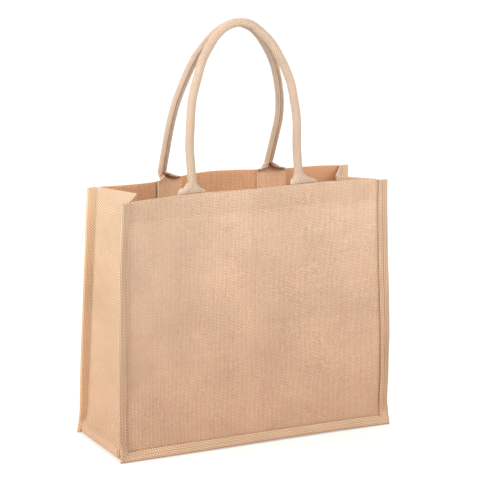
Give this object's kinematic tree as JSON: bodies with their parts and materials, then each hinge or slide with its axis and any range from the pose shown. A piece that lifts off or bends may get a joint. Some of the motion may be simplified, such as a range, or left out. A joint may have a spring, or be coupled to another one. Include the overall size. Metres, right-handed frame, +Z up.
{
  "type": "shopping bag",
  "caption": "Open-topped jute tote bag with flat fins along its edges, side gussets folded in at the mouth and long rolled cotton handles",
  "frame": {"origin": "on the ground, under the middle of the base", "axes": "+Z is up, the front panel faces -Y, and the bag's width runs along X"},
  "size_m": [0.4006, 0.1449, 0.5544],
  "materials": {
    "jute": "natural jute, plain weave",
    "jute_gusset": "natural jute, plain weave",
    "cotton_webbing": "natural cotton webbing, matt"
  },
  "bodies": {
    "root": {"front_panel": "jute", "back_panel": "jute", "gusset": "jute_gusset", "handle_front": "cotton_webbing", "handle_back": "cotton_webbing"}
  },
  "joints": []
}
